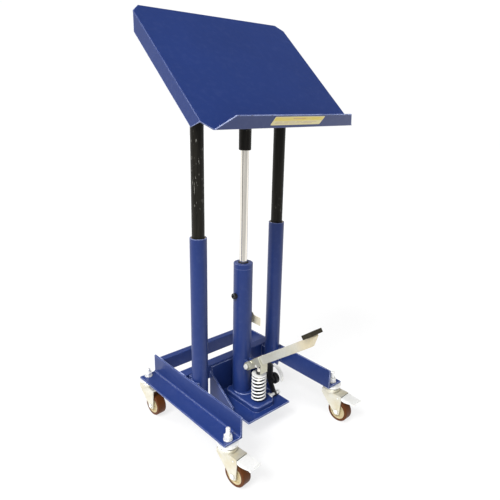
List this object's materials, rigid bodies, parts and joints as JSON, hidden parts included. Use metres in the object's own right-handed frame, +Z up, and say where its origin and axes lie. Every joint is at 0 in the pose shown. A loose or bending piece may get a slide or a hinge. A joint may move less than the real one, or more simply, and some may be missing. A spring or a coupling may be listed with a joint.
{
  "type": "tilting hydraulic lift table",
  "caption": "Foot-pumped hydraulic lift table: tilting square platform with a stop lip on twin telescopic posts, over an open frame on swivel casters.",
  "frame": {"origin": "on the floor, at the centre of the bounding box of the rest pose (raised, tilted)", "axes": "+Z up; +X to the right of a user at the pedal; the pedal and the platform lip point along -Y; rest pose has the platform raised and tilted 42.6 degrees"},
  "size_m": [0.61, 0.6316, 1.4072],
  "materials": {
    "paint_blue": "semi-gloss enamel",
    "black_steel": "blackened, satin",
    "rod_chrome": "polished",
    "bright_zinc": "zinc plated",
    "yellow_zinc": "zinc plated with a yellow passivation tint",
    "dark_steel": "black oxide",
    "bush_bronze": "machined",
    "pad_rubber": "ribbed",
    "black_plastic": "moulded",
    "tread_amber": "cast polyurethane",
    "hub_tan": "moulded"
  },
  "bodies": {
    "base": {"side_rails": "paint_blue", "cross_member_middle": "paint_blue", "cross_member_rear": "paint_blue", "pump_bracket": "paint_blue", "bracket_gussets": "paint_blue", "post_lugs": "paint_blue", "outer_tubes": "paint_blue", "guide_bushes": "bush_bronze", "cylinder_tube": "paint_blue", "cylinder_gland": "paint_blue", "filler_plug": "black_plastic", "boss_tab": "yellow_zinc", "tab_screw": "bright_zinc", "pump_block": "paint_blue", "pump_barrel": "black_steel", "pivot_bolt": "bright_zinc", "valve_nut": "bright_zinc", "caster_tops": "bright_zinc", "caster_nuts": "bright_zinc", "return_spring": "bright_zinc"},
    "lift": {"inner_tubes": "black_steel", "piston_rod": "rod_chrome", "rod_collar": "black_steel", "head_beam": "paint_blue", "head_cheeks": "paint_blue", "pivot_pins": "bright_zinc", "clamp_studs": "bright_zinc"},
    "platform": {"platform_tray": "paint_blue", "tray_channels": "paint_blue", "tilt_plates": "paint_blue"},
    "tilt_knob": {"lock_knob": "black_plastic"},
    "pedal": {"rocker": "yellow_zinc", "drive_roller": "bright_zinc", "pedal_arm": "yellow_zinc", "pedal_pad": "pad_rubber"},
    "plunger": {"plunger": "rod_chrome", "spring_seat": "bright_zinc", "spring_cap": "black_plastic"},
    "release": {"release_lever": "dark_steel", "release_guard": "bright_zinc", "release_knob": "black_plastic", "release_shaft": "bright_zinc"},
    "swivel_front_left": {"fork_front_left": "yellow_zinc", "axle_front_left": "bright_zinc"},
    "wheel_front_left": {"tread_front_left": "tread_amber", "hub_front_left": "hub_tan"},
    "brake_front_left": {"brake_pedal_front_left": "bright_zinc"},
    "swivel_front_right": {"fork_front_right": "yellow_zinc", "axle_front_right": "bright_zinc"},
    "wheel_front_right": {"tread_front_right": "tread_amber", "hub_front_right": "hub_tan"},
    "brake_front_right": {"brake_pedal_front_right": "bright_zinc"},
    "swivel_rear_left": {"fork_rear_left": "yellow_zinc", "axle_rear_left": "bright_zinc"},
    "wheel_rear_left": {"tread_rear_left": "tread_amber", "hub_rear_left": "hub_tan"},
    "swivel_rear_right": {"fork_rear_right": "yellow_zinc", "axle_rear_right": "bright_zinc"},
    "wheel_rear_right": {"tread_rear_right": "tread_amber", "hub_rear_right": "hub_tan"}
  },
  "joints": [
    {"name": "lift_slide", "type": "slide", "parent": "base", "child": "lift", "axis": [0, 0, 1], "range_m": [-0.375, 0]},
    {"name": "platform_tilt", "type": "hinge", "parent": "lift", "child": "platform", "pos_m": [0, 0.047, 1.19], "axis": [1, 0, 0], "range_deg": [-42.6, 0]},
    {"name": "tilt_knob_turn", "type": "hinge", "parent": "lift", "child": "tilt_knob", "pos_m": [0.1265, 0.132, 1.19], "axis": [1, 0, 0], "range_deg": [0, 360]},
    {"name": "pedal_press", "type": "hinge", "parent": "base", "child": "pedal", "pos_m": [0, -0.014, 0.224], "axis": [1, 0, 0], "range_deg": [0, 30], "stiffness_Nm_per_rad": 16, "springref_deg": -28.65},
    {"name": "plunger_stroke", "type": "slide", "parent": "base", "child": "plunger", "axis": [0, 0, 1], "range_m": [-0.0275, 0], "deforming": ["return_spring"]},
    {"name": "release_turn", "type": "hinge", "parent": "base", "child": "release", "pos_m": [0.08, -0.064, 0.094], "axis": [1, 0, 0], "range_deg": [0, 20], "stiffness_Nm_per_rad": 1, "springref_deg": -14.32},
    {"name": "swivel_front_left", "type": "hinge", "parent": "base", "child": "swivel_front_left", "pos_m": [-0.2535, -0.196, 0.12], "axis": [0, 0, 1], "continuous": true},
    {"name": "wheel_front_left", "type": "hinge", "parent": "swivel_front_left", "child": "wheel_front_left", "pos_m": [-0.2489, -0.23976, 0.041], "axis": [0.9945, 0.1045, 0], "continuous": true},
    {"name": "brake_front_left", "type": "hinge", "parent": "swivel_front_left", "child": "brake_front_left", "pos_m": [-0.24869, -0.24175, 0.098], "axis": [0.9945, 0.1045, 0], "range_deg": [0, 12]},
    {"name": "swivel_front_right", "type": "hinge", "parent": "base", "child": "swivel_front_right", "pos_m": [0.2535, -0.196, 0.12], "axis": [0, 0, 1], "continuous": true},
    {"name": "wheel_front_right", "type": "hinge", "parent": "swivel_front_right", "child": "wheel_front_right", "pos_m": [0.2558, -0.23994, 0.041], "axis": [0.9986, 0.0523, 0], "continuous": true},
    {"name": "brake_front_right", "type": "hinge", "parent": "swivel_front_right", "child": "brake_front_right", "pos_m": [0.25591, -0.24194, 0.098], "axis": [0.9986, 0.0523, 0], "range_deg": [0, 12]},
    {"name": "swivel_rear_left", "type": "hinge", "parent": "base", "child": "swivel_rear_left", "pos_m": [-0.2535, 0.2815, 0.12], "axis": [0, 0, 1], "continuous": true},
    {"name": "wheel_rear_left", "type": "hinge", "parent": "swivel_rear_left", "child": "wheel_rear_left", "pos_m": [-0.2512, 0.23756, 0.041], "axis": [0.9986, 0.0523, 0], "continuous": true},
    {"name": "swivel_rear_right", "type": "hinge", "parent": "base", "child": "swivel_rear_right", "pos_m": [0.2535, 0.2815, 0.12], "axis": [0, 0, 1], "continuous": true},
    {"name": "wheel_rear_right", "type": "hinge", "parent": "swivel_rear_right", "child": "wheel_rear_right", "pos_m": [0.2535, 0.2375, 0.041], "axis": [1, 0, 0], "continuous": true}
  ],
  "couplings": [
    {"joint": "plunger_stroke", "follows": "pedal_press", "m_per_rad": -0.0515}
  ]
}
